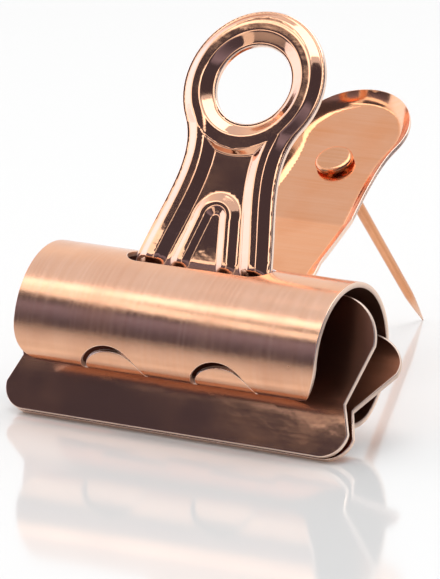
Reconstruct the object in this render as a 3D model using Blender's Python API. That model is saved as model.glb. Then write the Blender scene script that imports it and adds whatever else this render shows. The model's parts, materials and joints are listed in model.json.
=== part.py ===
"""A sprung paper clip with a pin on its rear handle, in metres, +Z up, standing on its jaw and pin point.

The pieces are drawn in the clip's own frame: X runs along the barrel, V points to the rear
and W up along the clip's axis, with the barrel's axis at V = W = 0. Each sheet piece is cut as
a flat pattern in X and S, the length along its bend line, and is then bent to its side profile.
"""

import math

import bmesh
import bpy
from mathutils import Matrix, Vector
from mathutils.geometry import delaunay_2d_cdt, interpolate_bezier

# Spring barrel: a rolled sheet, open along the jaws, with its two long edges curled in
BARREL_RADIUS = 0.0061
BARREL_LENGTH = 0.0272
BARREL_SHEET = 0.00045
BARREL_CORNER = 0.0048
BARREL_WRAP = math.radians(128)
CURL_RADIUS = 0.0022

# Slots in the top of the barrel for the two handles
SLOT_ANGLE = math.radians(28)
FRONT_SLOT_WIDTH = 0.0033
FRONT_SLOT_SHIFT = 0.0005
REAR_SLOT_WIDTH = 0.0028
SLOT_END_GAP = 0.0006

# Half-moon tongues, cut in the barrel above each long edge and pressed in
TONGUE_OFFSET = 0.0050
TONGUE_RADIUS = 0.0030
TONGUE_BASE = 0.0010
TONGUE_SLIT = 0.0003
TONGUE_PRESS = 0.0007

# Lever plates and jaws
JAW_WIDTH = 0.0310
WAIST_WIDTH = 0.0292
PLATE_WIDTH = 0.0324
LEVER_SHEET = 0.00045
JAW_LENGTH = 0.0043
JAW_ANGLE = math.radians(5.5)
JAW_GAP = 0.0003
JAW_BEND_DEPTH = 0.00394
JAW_CORNER = 0.0020
SHOULDER_CORNER = 0.0035
SHOULDER_DROP = 0.0010
BEND_RADIUS = 0.0012
CLEARANCE = 0.0003

# Front handle: a ring on two ribbed legs, with a sunk panel and an arched tongue
FRONT_LEAN = math.radians(-3)
RING_RADIUS = 0.00618
RING_HOLE = 0.00342
RING_RISE = 0.0151
FRONT_FOOT = 0.0060
LEG_WIDTH = 0.0029
LEG_REACH = 0.0050
RING_JOIN = math.radians(-32)
BEAD_HEIGHT = 0.0011
RIB_FLANK = 0.6
ARCH_HALF_WIDTH = 0.0019
ARCH_RISE = 0.0049
ARCH_BEAD = 0.0008
ARCH_HEIGHT = 0.0006

# Rear handle: a creased tongue with a round end and a turned-up rim
REAR_LEAN = math.radians(38.5)
REAR_CREASE = 0.0112
CREASE_RADIUS = 0.0030
BOW_ANGLE = math.radians(60)
BOW_GAP = 0.0005
BOW_RADIUS = 0.0025
REAR_SHOULDER_DROP = 0.0018
REAR_END_LEAN = math.radians(26)
PIN_RISE = 0.0070
HEAD_RISE = 0.00325
REAR_FOOT = 0.0060
REAR_HEAD = 0.0051
REAR_JOIN = math.radians(-15)
REAR_REACH = 0.0080
RIM_HEIGHT = 0.0009
RIM_WIDTH = 0.0011

# Pin, pushed through the rear handle from its front face
PIN_LENGTH = 0.0226
PIN_TILT = math.radians(13.5)
PIN_RADIUS = 0.00050
PIN_TAPER_RADIUS = 0.00040
PIN_POINT_RADIUS = 0.00006
PIN_POINT_LENGTH = 0.0040
PIN_HEAD_RADIUS = 0.0016
PIN_HEAD_HEIGHT = 0.0004
PIN_SIDES = 20

FINE_STEP = 0.00075
PLATE_STEP = 0.0018
ARC_STEP = math.radians(12)

COPPER = (0.86, 0.52, 0.36)
STEEL = (0.83, 0.60, 0.46)


def corner_path(points, radii):
    """Lines and arcs along a polyline whose inner corners are rounded: (kind, length, data)."""
    points = [Vector(point) for point in points]
    parts = []
    start = points[0]
    for before, corner, after, radius in zip(points, points[1:], points[2:], radii):
        come, leave = (corner - before).normalized(), (after - corner).normalized()
        turn = come.angle_signed(leave)
        cut = radius * math.tan(abs(turn) / 2)
        end = corner - come * cut
        parts.append(("line", (end - start).length, (start, come)))
        side = Vector((come.y, -come.x)) * math.copysign(1, turn)
        parts.append(("arc", radius * abs(turn), (end + side * radius, end, turn, radius)))
        start = corner + leave * cut
    parts.append(("line", (points[-1] - start).length, (start, (points[-1] - start).normalized())))
    return parts


def path_length(parts):
    return sum(length for _, length, _ in parts)


def along(parts, distance):
    """The point at a distance along a path, and the direction of the path there."""
    for kind, length, data in parts[:-1]:
        if distance <= length:
            break
        distance -= length
    else:
        kind, length, data = parts[-1]
    if kind == "line":
        return data[0] + data[1] * distance, data[1]
    centre, begin, turn, radius = data
    swept = -math.copysign(distance / radius, turn)
    turned = Matrix.Rotation(swept, 2)
    arm = turned @ (begin - centre)
    heading = Vector((-arm.y, arm.x)) * math.copysign(1, -turn)
    return centre + arm, heading.normalized()


def front_of(heading):
    """The normal of a lever's sheet that points to the front, for a path that climbs."""
    return Vector((-heading.y, heading.x))


def arc(centre, radius, first, last, step=ARC_STEP):
    count = max(2, math.ceil(abs(last - first) / step))
    angles = [first + (last - first) * i / count for i in range(count + 1)]
    return [Vector((centre[0] + radius * math.cos(a), centre[1] + radius * math.sin(a))) for a in angles]


def mirrored(right_side):
    """A closed outline from its right half, which runs up from the bottom to the top."""
    return right_side + [Vector((-p.x, p.y)) for p in reversed(right_side) if abs(p.x) > 1e-6]


def split(loop, step):
    """The outline with its long sides cut into pieces of about one step."""
    dense = []
    for here, there in zip(loop, loop[1:] + loop[:1]):
        pieces = max(1, round((there - here).length / step))
        dense.extend(here.lerp(there, i / pieces) for i in range(pieces))
    return dense


def encloses(loop, point):
    inside = False
    for a, b in zip(loop, loop[1:] + loop[:1]):
        if (a.y > point.y) != (b.y > point.y):
            if point.x < a.x + (b.x - a.x) * (point.y - a.y) / (b.y - a.y):
                inside = not inside
    return inside


def filled(loops, inner_points, margin):
    """Triangles over a flat pattern: the first loop is its outline and the others are its holes."""
    def on_sheet(point):
        return encloses(loops[0], point) and not any(encloses(hole, point) for hole in loops[1:])

    points, edges = [], []
    for loop in loops:
        first = len(points)
        points.extend(loop)
        edges.extend((first + i, first + (i + 1) % len(loop)) for i in range(len(loop)))
    for point in inner_points:
        if on_sheet(point) and min((point - other).length for other in points) > margin:
            points.append(point)
    flat, _, faces, *_ = delaunay_2d_cdt(points, edges, [], 1, 1e-7)
    flat = [Vector((p[0], p[1])) for p in flat]
    kept = [face for face in faces if on_sheet(sum((flat[i] for i in face), Vector((0, 0))) / 3)]
    return flat, kept


def grid(low, high, step):
    """Rows of points in a triangular pattern, the same on both sides of X = 0."""
    rows = math.ceil((high[1] - low[1]) / (step * 0.866))
    columns = math.ceil(high[0] / step)
    found = []
    for row in range(rows + 1):
        shift = 0.5 * (row % 2)
        y = low[1] + row * step * 0.866
        found.extend(Vector(((i + shift) * step, y)) for i in range(-columns - 1, columns + 1))
    return found


def bent_sheet(name, pattern, place, thickness, origin, material):
    """A sheet of even thickness: the flat pattern bent by place(x, s), and thickened both ways."""
    flat, faces = pattern
    mesh = bmesh.new()
    middle = [mesh.verts.new(place(p.x, p.y)) for p in flat]
    for face in faces:
        mesh.faces.new([middle[i] for i in face])
    loose = [vertex for vertex in mesh.verts if not vertex.link_faces]
    bmesh.ops.delete(mesh, geom=loose, context="VERTS")
    mesh.normal_update()
    outer = {v: mesh.verts.new(v.co + v.normal * thickness / 2) for v in list(mesh.verts)}
    inner = {v: mesh.verts.new(v.co - v.normal * thickness / 2) for v in outer}
    border = [edge for edge in mesh.edges if len(edge.link_faces) == 1]
    rims = [(edge.link_loops[0].vert, edge.link_loops[0].link_loop_next.vert) for edge in border]
    for face in [face for face in mesh.faces]:
        mesh.faces.new([outer[v] for v in face.verts])
        mesh.faces.new([inner[v] for v in reversed(face.verts)])
    for a, b in rims:
        mesh.faces.new((outer[b], outer[a], inner[a], inner[b]))
    bmesh.ops.delete(mesh, geom=list(outer), context="VERTS")
    return added(name, mesh, origin, material)


def added(name, mesh, origin, material):
    """The mesh as a named object of the clip frame, with its origin at the given point."""
    bmesh.ops.translate(mesh, verts=mesh.verts, vec=-origin)
    bmesh.ops.recalc_face_normals(mesh, faces=mesh.faces)
    if mesh.calc_volume(signed=True) < 0:
        bmesh.ops.reverse_faces(mesh, faces=mesh.faces)
    data = bpy.data.meshes.new(name)
    mesh.to_mesh(data)
    mesh.free()
    data.shade_smooth()
    data.set_sharp_from_angle(angle=math.radians(40))
    data.materials.append(material)
    piece = bpy.data.objects.new(name, data)
    piece.location = origin
    bpy.context.scene.collection.objects.link(piece)
    return piece


def metal(name, colour, roughness):
    material = bpy.data.materials.new(name)
    material.use_nodes = True
    shader = material.node_tree.nodes["Principled BSDF"]
    shader.inputs["Base Color"].default_value = (*colour, 1)
    shader.inputs["Metallic"].default_value = 1
    shader.inputs["Roughness"].default_value = roughness
    return material


def barrel_path():
    """The middle of the barrel's section, from its front edge over the top to its rear edge."""
    middle = BARREL_RADIUS - BARREL_SHEET / 2
    start = Vector((math.sin(BARREL_WRAP), math.cos(BARREL_WRAP)))
    rear_centre = start * (middle - CURL_RADIUS)
    front_centre = Vector((-rear_centre.x, rear_centre.y))
    reach = rear_centre.x - jaw_bend(1).x - LEVER_SHEET / 2 - CLEARANCE
    curl = math.pi + math.asin(reach / (CURL_RADIUS + BARREL_SHEET / 2)) - BARREL_WRAP
    last = BARREL_WRAP + curl
    edge = front_centre + Vector((-math.sin(last), math.cos(last))) * CURL_RADIUS
    return [
        ("arc", CURL_RADIUS * curl, (front_centre, edge, curl, CURL_RADIUS)),
        ("arc", middle * 2 * BARREL_WRAP, (Vector((0, 0)), Vector((-start.x, start.y)) * middle, 1, middle)),
        ("arc", CURL_RADIUS * curl, (rear_centre, start * middle, curl, CURL_RADIUS)),
    ]


def between(value, known, wanted):
    """The wanted quantity at a value, read along two matching rising lists."""
    last = len(known) - 2
    index = next((i for i in range(last) if value < known[i + 1]), last)
    share = (value - known[index]) / (known[index + 1] - known[index])
    return wanted[index] + (wanted[index + 1] - wanted[index]) * share


def slot_loop(s, half_length, width):
    """A slot across the barrel with round ends."""
    half = width / 2
    straight = half_length - half
    right = arc((straight, s), half, -math.pi / 2, math.pi / 2, math.radians(30))
    return right + [Vector((-p.x, 2 * s - p.y)) for p in right]


def tongue_loop(x, base, up):
    """The narrow slit round a half-moon tongue, which stays joined along its base."""
    outer = arc((0, 0), TONGUE_RADIUS, 0, math.pi)
    inner = arc((0, 0), TONGUE_RADIUS - TONGUE_SLIT, math.pi, 0)
    return [Vector((x + p.x, base + up * p.y)) for p in outer + inner]


def make_spring_barrel(material):
    path = barrel_path()
    total = path_length(path)
    half = BARREL_LENGTH / 2
    corner = BARREL_CORNER
    right = arc((half - corner, corner), corner, -math.pi / 2, 0)
    right += arc((half - corner, total - corner), corner, 0, math.pi / 2)
    loops = [split(mirrored([Vector((0, 0))] + right + [Vector((0, total))]), FINE_STEP)]
    from_top = (BARREL_RADIUS - BARREL_SHEET / 2) * SLOT_ANGLE
    for s, width, foot in (
        (total / 2 - from_top - FRONT_SLOT_SHIFT, FRONT_SLOT_WIDTH, FRONT_FOOT),
        (total / 2 + from_top, REAR_SLOT_WIDTH, REAR_FOOT),
    ):
        loops.append(split(slot_loop(s, foot + SLOT_END_GAP, width), FINE_STEP))
    for x in (-TONGUE_OFFSET, TONGUE_OFFSET):
        loops.append(tongue_loop(x, TONGUE_BASE, 1))
        loops.append(tongue_loop(x, total - TONGUE_BASE, -1))

    def place(x, s):
        point, heading = along(path, s)
        above = min(s, total - s) - TONGUE_BASE
        across = abs(abs(x) - TONGUE_OFFSET)
        if above > 0 and math.hypot(across, above) < TONGUE_RADIUS - TONGUE_SLIT / 2:
            point = point - front_of(heading) * TONGUE_PRESS * above / TONGUE_RADIUS
        return Vector((x, point.x, point.y))

    pattern = filled(loops, grid((0, 0), (half, total), FINE_STEP * 1.25), FINE_STEP * 0.55)
    return bent_sheet("spring_barrel", pattern, place, BARREL_SHEET, Vector((0, 0, 0)), material)


def jaw_tip(side):
    """The free end of a jaw, which closes on the other jaw."""
    return Vector((side * (JAW_GAP + LEVER_SHEET) / 2, -JAW_BEND_DEPTH - JAW_LENGTH * math.cos(JAW_ANGLE)))


def jaw_bend(side):
    """Where a lever's plate meets its jaw, between the barrel's edges."""
    return jaw_tip(side) + Vector((side * math.sin(JAW_ANGLE), math.cos(JAW_ANGLE))) * JAW_LENGTH


def slot_point(side):
    """Where the middle of a lever's sheet crosses the middle of the barrel's sheet."""
    return Vector((side * math.sin(SLOT_ANGLE), math.cos(SLOT_ANGLE))) * (BARREL_RADIUS - BARREL_SHEET / 2)


def front_path():
    """The front lever's side profile, from its jaw up to the top of its ring."""
    slot = slot_point(-1)
    top = slot + Vector((math.sin(FRONT_LEAN), math.cos(FRONT_LEAN))) * (RING_RISE + RING_RADIUS)
    return corner_path([jaw_tip(-1), jaw_bend(-1), slot, top], [BEND_RADIUS, BEND_RADIUS])


def rear_path():
    """The rear lever's side profile: its jaw, a plate bowed along the barrel and a creased handle."""
    slot = slot_point(1)
    crease = slot + Vector((math.sin(REAR_LEAN), math.cos(REAR_LEAN))) * REAR_CREASE
    end = Vector((math.sin(REAR_END_LEAN), math.cos(REAR_END_LEAN)))
    top = crease + end * (PIN_RISE + HEAD_RISE + REAR_HEAD)
    bow_depth = BARREL_RADIUS - BARREL_SHEET - LEVER_SHEET / 2 - BOW_GAP
    bow = Vector((math.sin(BOW_ANGLE), math.cos(BOW_ANGLE))) * bow_depth
    bends = [BEND_RADIUS, BOW_RADIUS, BEND_RADIUS, CREASE_RADIUS]
    return corner_path([jaw_tip(1), jaw_bend(1), bow, slot, crease, top], bends)


def slot_distance(path, top_length):
    """How far along a lever its slot lies, from the length of its handle above the slot."""
    return path_length(path) - top_length


def plate_side(foot, shoulder):
    """The right side of a lever's plate, from its jaw up to the foot of the handle."""
    half = PLATE_WIDTH / 2
    side = [Vector((0, 0))]
    side += arc((JAW_WIDTH / 2 - JAW_CORNER, JAW_CORNER), JAW_CORNER, -math.pi / 2, 0)
    side.append(Vector((WAIST_WIDTH / 2, JAW_LENGTH)))
    side += arc((half - SHOULDER_CORNER, shoulder - SHOULDER_CORNER), SHOULDER_CORNER, 0, math.pi / 2)
    side.append(Vector((foot, shoulder)))
    return side


def lever_points(outline_top, shoulder):
    """Points inside a lever's pattern: wide apart on its plate, close together on its handle."""
    plate = grid((0, 0), (PLATE_WIDTH / 2, shoulder - FINE_STEP), PLATE_STEP)
    return plate + grid((0, shoulder), (PLATE_WIDTH / 2, outline_top), FINE_STEP)


def bump(distance, half_width):
    """A smooth rib's height share, at a distance from its middle line."""
    if abs(distance) >= half_width:
        return 0.0
    return math.cos(math.pi / 2 * distance / half_width) ** 0.75


def make_front_lever(pivot, material):
    path = front_path()
    top = path_length(path)
    slot = slot_distance(path, RING_RISE + RING_RADIUS)
    shoulder = slot - SHOULDER_DROP
    ring = top - RING_RADIUS
    joins = Vector((math.cos(RING_JOIN), math.sin(RING_JOIN))) * RING_RADIUS + Vector((0, ring))
    tangent = Vector((-math.sin(RING_JOIN), math.cos(RING_JOIN)))
    side = plate_side(FRONT_FOOT, shoulder)
    edge = interpolate_bezier(
        Vector((FRONT_FOOT, slot)),
        Vector((FRONT_FOOT - LEG_REACH * 0.2, slot + LEG_REACH)),
        joins - tangent * LEG_REACH * 0.75,
        joins,
        20,
    )
    edge = [Vector((p[0], p[1])) for p in edge]
    side += edge
    side += arc((0, ring), RING_RADIUS, RING_JOIN, math.pi / 2)[1:]
    hole = arc((0, ring), RING_HOLE, 0, math.tau)[:-1]
    loops = [split(mirrored(side), FINE_STEP), split(hole, FINE_STEP)]
    heights, widths = [p.y for p in edge], [p.x for p in edge]
    ring_middle, ring_half = (RING_RADIUS + RING_HOLE) / 2, (RING_RADIUS - RING_HOLE) / 2
    arch = slot + ARCH_RISE - ARCH_HALF_WIDTH

    def relief(x, s):
        """How far the sheet is raised to the front: the ring, the two legs and the arched tongue."""
        if s < shoulder:
            return 0.0
        rise = min(1, (s - shoulder) / SHOULDER_DROP)
        best = BEAD_HEIGHT * bump(math.hypot(x, s - ring) - ring_middle, ring_half)
        if s < heights[-1]:
            outside = between(max(s, heights[0]), heights, widths)
            leg = abs(x) - (outside - LEG_WIDTH / 2)
            merge = min(1, (heights[-1] - s) / LEG_WIDTH)
            best = max(best, rise * merge * BEAD_HEIGHT * bump(leg, LEG_WIDTH / 2))
        bow = math.hypot(x, max(0, s - arch)) - ARCH_HALF_WIDTH
        return max(best, rise * ARCH_HEIGHT * bump(bow, ARCH_BEAD))

    def place(x, s):
        point, heading = along(path, s)
        point = point + front_of(heading) * relief(x, s)
        return Vector((x, point.x, point.y))

    rows = []
    for share in (0, -RIB_FLANK, RIB_FLANK):
        rows += arc((0, ring), ring_middle + share * ring_half, 0, math.tau)[:-1]
    for inset in (LEG_WIDTH / 2, LEG_WIDTH / 2 * (1 - RIB_FLANK), LEG_WIDTH / 2 * (1 + RIB_FLANK), LEG_WIDTH):
        for p in edge:
            rows += [Vector((p.x - inset, p.y)), Vector((inset - p.x, p.y))]
    for reach in (ARCH_HALF_WIDTH, ARCH_HALF_WIDTH - ARCH_BEAD, ARCH_HALF_WIDTH + ARCH_BEAD):
        over = arc((0, arch), reach, 0, math.pi)
        rows += split([Vector((reach, slot))] + over + [Vector((-reach, slot))], FINE_STEP)
    pattern = filled(loops, rows + lever_points(top, shoulder), FINE_STEP * 0.55)
    return bent_sheet("front_lever", pattern, place, LEVER_SHEET, pivot, material)


def make_rear_lever(material):
    path = rear_path()
    top = path_length(path)
    slot = slot_distance(path, REAR_CREASE + PIN_RISE + HEAD_RISE + REAR_HEAD)
    shoulder = slot - REAR_SHOULDER_DROP
    head = top - REAR_HEAD
    joins = Vector((math.cos(REAR_JOIN), math.sin(REAR_JOIN))) * REAR_HEAD + Vector((0, head))
    tangent = Vector((-math.sin(REAR_JOIN), math.cos(REAR_JOIN)))
    side = plate_side(REAR_FOOT, shoulder)
    edge = interpolate_bezier(
        Vector((REAR_FOOT, slot)),
        Vector((REAR_FOOT, slot + REAR_REACH)),
        joins - tangent * REAR_REACH / 2,
        joins,
        20,
    )
    edge = [Vector((p[0], p[1])) for p in edge]
    side += edge
    side += arc((0, head), REAR_HEAD, REAR_JOIN, math.pi / 2)[1:]
    pin_hole = arc((0, head - HEAD_RISE), PIN_RADIUS + CLEARANCE, 0, math.tau)[:-1]
    loops = [split(mirrored(side), FINE_STEP), pin_hole]
    heights, widths = [p.y for p in edge], [p.x for p in edge]

    def relief(x, s):
        """How far the rim is turned up to the front round the handle's free edge."""
        if s > heights[-1]:
            inset = REAR_HEAD - math.hypot(x, s - head)
        else:
            inset = between(max(s, heights[0]), heights, widths) - abs(x)
        share = max(0, 1 - max(0, inset) / RIM_WIDTH)
        rise = min(1, max(0, (s - slot - RIM_WIDTH) / (3 * RIM_WIDTH)))
        return rise * RIM_HEIGHT * share ** 1.5

    def place(x, s):
        point, heading = along(path, s)
        point = point + front_of(heading) * relief(x, s)
        return Vector((x, point.x, point.y))

    pattern = filled(loops, lever_points(top, shoulder), FINE_STEP * 0.55)
    return bent_sheet("rear_lever", pattern, place, LEVER_SHEET, Vector((0, 0, 0)), material)


def pin_seat():
    """The middle of the pin's hole in the rear handle, and the ways that its head and its shank point."""
    path = rear_path()
    point, heading = along(path, path_length(path) - REAR_HEAD - HEAD_RISE)
    back = -front_of(heading)
    return point, back, Matrix.Rotation(PIN_TILT, 2) @ back


def pin_tip():
    point, _, away = pin_seat()
    return point + away * (LEVER_SHEET / 2 + PIN_LENGTH)


def make_push_pin(material):
    """A pin with a low head on the handle's front face, a long leaning shank and a tapered point."""
    point, back, away = pin_seat()
    under = -LEVER_SHEET / 2 - CLEARANCE
    end = LEVER_SHEET / 2 + PIN_LENGTH
    crown = [
        (PIN_HEAD_RADIUS * math.sin(a), under - PIN_HEAD_HEIGHT * (0.5 + 0.5 * math.cos(a)), back)
        for a in (math.radians(30), math.radians(60), math.pi / 2)
    ]
    rows = crown + [
        (PIN_HEAD_RADIUS, under, back),
        (PIN_RADIUS, under, back),
        (PIN_RADIUS, LEVER_SHEET, away),
        (PIN_TAPER_RADIUS, end - PIN_POINT_LENGTH, away),
        (PIN_POINT_RADIUS, end, away),
    ]
    mesh = bmesh.new()
    across = Vector((1, 0, 0))

    def ring_at(radius, depth, way):
        middle = point + way * depth
        up = Vector((0, way.x, way.y)).cross(across)
        ring = []
        for i in range(PIN_SIDES):
            angle = math.tau * i / PIN_SIDES
            offset = (across * math.cos(angle) + up * math.sin(angle)) * radius
            ring.append(mesh.verts.new(Vector((0, middle.x, middle.y)) + offset))
        return ring

    rings = [ring_at(*row) for row in rows]
    for before, after in zip(rings, rings[1:]):
        for i in range(PIN_SIDES):
            j = (i + 1) % PIN_SIDES
            mesh.faces.new((before[i], before[j], after[j], after[i]))
    top = point + back * (under - PIN_HEAD_HEIGHT)
    top = mesh.verts.new(Vector((0, top.x, top.y)))
    for i in range(PIN_SIDES):
        mesh.faces.new((top, rings[0][(i + 1) % PIN_SIDES], rings[0][i]))
    mesh.faces.new(rings[-1])
    return added("push_pin", mesh, Vector((0, point.x, point.y)), material)


def stand_on_floor():
    """The frame that leans the clip back until its rear jaw and its pin point are on the floor."""
    start, heading = along(rear_path(), 0)
    foot = start - front_of(heading) * LEVER_SHEET / 2
    tip = pin_tip()
    lean = math.atan2(tip.y - foot.y, tip.x - foot.x)
    turned = Matrix.Rotation(-lean, 2)
    front = -BARREL_RADIUS
    middle = (front + (turned @ tip).x) / 2
    stand = bpy.data.objects.new("clip_stand", None)
    stand.rotation_euler = (-lean, 0, 0)
    stand.location = (0, -middle, -(turned @ foot).y)
    bpy.context.scene.collection.objects.link(stand)
    return stand


for leftover in list(bpy.data.objects):
    bpy.data.objects.remove(leftover)

pivot = Vector((0, 0, BARREL_RADIUS - BARREL_SHEET))
stand = stand_on_floor()
for piece in (
    make_spring_barrel(metal("barrel_copper", COPPER, 0.14)),
    make_front_lever(pivot, metal("front_copper", COPPER, 0.12)),
    make_rear_lever(metal("rear_copper", COPPER, 0.16)),
    make_push_pin(metal("pin_copper", STEEL, 0.22)),
):
    piece.parent = stand
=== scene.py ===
import json
import math

import bpy
import numpy as np
from mathutils import Matrix, Vector
from mathutils.geometry import delaunay_2d_cdt, interpolate_bezier
from mathutils.kdtree import KDTree


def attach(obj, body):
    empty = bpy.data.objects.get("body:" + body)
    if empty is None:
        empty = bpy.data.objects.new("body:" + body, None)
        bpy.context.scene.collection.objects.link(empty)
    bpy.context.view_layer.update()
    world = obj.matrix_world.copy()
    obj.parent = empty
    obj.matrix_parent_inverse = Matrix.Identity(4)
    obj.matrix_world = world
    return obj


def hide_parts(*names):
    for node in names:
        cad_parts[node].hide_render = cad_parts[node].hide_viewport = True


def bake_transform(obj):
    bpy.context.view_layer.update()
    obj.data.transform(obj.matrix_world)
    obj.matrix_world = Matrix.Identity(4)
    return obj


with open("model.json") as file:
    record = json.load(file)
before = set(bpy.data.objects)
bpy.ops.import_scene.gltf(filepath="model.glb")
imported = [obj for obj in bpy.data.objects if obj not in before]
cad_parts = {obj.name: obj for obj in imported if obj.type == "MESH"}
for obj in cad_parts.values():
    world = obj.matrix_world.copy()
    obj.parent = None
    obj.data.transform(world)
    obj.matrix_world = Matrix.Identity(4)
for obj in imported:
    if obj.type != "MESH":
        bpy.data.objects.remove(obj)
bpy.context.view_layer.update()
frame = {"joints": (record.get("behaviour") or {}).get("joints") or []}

# The clip as a whole: it stands on its rear jaw and on its pin's point, so its own axis leans back.
# Each piece is drawn upright about the barrel's axis, with x along the barrel, v to the rear and w up.
BARREL_RADIUS = 0.0061
BARREL_SHEET = 0.00045
LEAN = math.radians(34.3253)

lean = Matrix.Rotation(-LEAN, 3, "X")
hinge = Vector(frame["joints"][0]["pos_m"])
barrel_axis = hinge - lean @ Vector((0, 0, BARREL_RADIUS - BARREL_SHEET))


def stood(x, v, w):
    """Points of the upright clip, moved to where the clip stands."""
    return np.stack(np.broadcast_arrays(x, v, w), axis=-1) @ np.array(lean).T + np.array(barrel_axis)


# Spring barrel: a strip of spring steel rolled nearly into a tube, plated in a rosy copper colour.
# It is cut flat with two slots for the handles and four half-moon tongues, then rolled and its long
# edges curled in, so that it grips the two levers and springs them shut.
BARREL_LENGTH = 0.0272
BARREL_CORNER = 0.0048
BARREL_WRAP = math.radians(128)
CURL_RADIUS = 0.0022
SLOT_ANGLE = math.radians(28)
FRONT_SLOT_WIDTH = 0.0033
FRONT_SLOT_SHIFT = 0.0005
REAR_SLOT_WIDTH = 0.0028
SLOT_HALF_LENGTH = 0.0066
TONGUE_OFFSET = 0.0050
TONGUE_RADIUS = 0.0030
TONGUE_BASE = 0.0010
TONGUE_SLIT = 0.0004
TONGUE_DROP = 0.0008
TONGUE_PRESS = 0.0007
LEVER_SHEET = 0.00045
JAW_LENGTH = 0.0043
JAW_ANGLE = math.radians(5.5)
JAW_GAP = 0.0003
JAW_BEND_DEPTH = 0.00394
CLEARANCE = 0.0003
SPRING_HALF_WIDTH = 0.0014
EDGE_STEP = 0.0003
FINE_EDGE_STEP = 0.0002
BARREL_STEP = 0.00042
BARREL_MARGIN = 0.00018
BARREL_ROUNDING = 0.00008
BARREL_ROUGHNESS = 0.155
BARREL_GRAIN = (1, 0.03, 1)
BARREL_SHIFT = 0.013
# Painted shade: how far the inner side of the sheet, which lies in the barrel's shade, is darkened to a deep
# brown and made rougher.
INSIDE_SHADE_AND_DULL = 0.9
ROSE = (0.88, 0.475, 0.29)
ROSE_TARNISH = (0.64, 0.29, 0.16)
ROSE_WORN_AND_SHEEN = (0.97, 0.79, 0.66)
# Painted shade: the deep brown that the parts lying in shade inside the barrel are darkened towards.
PAINTED_SHADE_BROWN = (0.12, 0.030, 0.022)


def rolled_line(lengths, headings, mark, point):
    """A side profile whose heading turns evenly along each length; point is where it passes the mark."""
    samples = 8001
    marks = np.concatenate([[0], np.cumsum(lengths)])
    s = np.linspace(0, marks[-1], samples)
    turn = np.interp(s, marks, headings)
    steps = np.stack([np.sin(turn), np.cos(turn)], axis=1)
    steps = (steps[1:] + steps[:-1]) / 2 * s[1]
    places = np.concatenate([[[0, 0]], np.cumsum(steps, axis=0)])
    places += np.array(point) - [np.interp(mark, s, places[:, 0]), np.interp(mark, s, places[:, 1])]

    def at(distance, lift):
        """Points along the profile, lifted off it to its outer or front side."""
        heading = np.interp(distance, s, turn)
        v = np.interp(distance, s, places[:, 0]) - lift * np.cos(heading)
        w = np.interp(distance, s, places[:, 1]) + lift * np.sin(heading)
        return v, w

    return at, marks[-1]


def arc(centre, radius, first, last, step=math.radians(4)):
    """Points along part of a circle."""
    turns = np.linspace(first, last, max(3, math.ceil(abs(last - first) / step) + 1))
    return np.stack([centre[0] + radius * np.cos(turns), centre[1] + radius * np.sin(turns)], axis=1)


def cut_line(points, step):
    """A closed outline with its long sides cut into even short pieces and doubled points left out."""
    doubled = 2e-5
    found = []
    for here, there in zip(points, np.roll(points, -1, axis=0)):
        pieces = max(1, round(np.linalg.norm(there - here) / step))
        if np.linalg.norm(there - here) > doubled:
            found.extend(here + (there - here) * i / pieces for i in range(pieces))
    return np.array(found)


def both_sides(right_side):
    """A closed outline from its right half, which runs up from the bottom to the top."""
    on_middle = 1e-6
    left = right_side[::-1] * [-1, 1]
    return np.concatenate([right_side, left[np.abs(left[:, 0]) > on_middle]])


def spread(reach, low, high, step):
    """Points all over a stretch of a flat pattern, in staggered rows."""
    row_share = 0.866
    rows = np.arange(low, high, step * row_share)
    columns = np.arange(-reach, reach, step)
    return np.array([(x + step / 2 * (i % 2), s) for i, s in enumerate(rows) for x in columns])


def inside(loop, at):
    """Which of the points lie inside a closed outline."""
    x, s = at[:, 0], at[:, 1]
    found = np.zeros(len(at), bool)
    for (ax, ay), (bx, by) in zip(loop, np.roll(loop, -1, axis=0)):
        if ay != by:
            found ^= ((ay > s) != (by > s)) & (x < ax + (bx - ax) * (s - ay) / (by - ay))
    return found


def noted(mesh, name, values):
    """Keeps a number, or a row of three, for each point of a mesh, which its plating reads."""
    kind, key = ("FLOAT_VECTOR", "vector") if values.ndim == 2 else ("FLOAT", "value")
    mesh.attributes.new(name, kind, "POINT").data.foreach_set(key, values.ravel())


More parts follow.
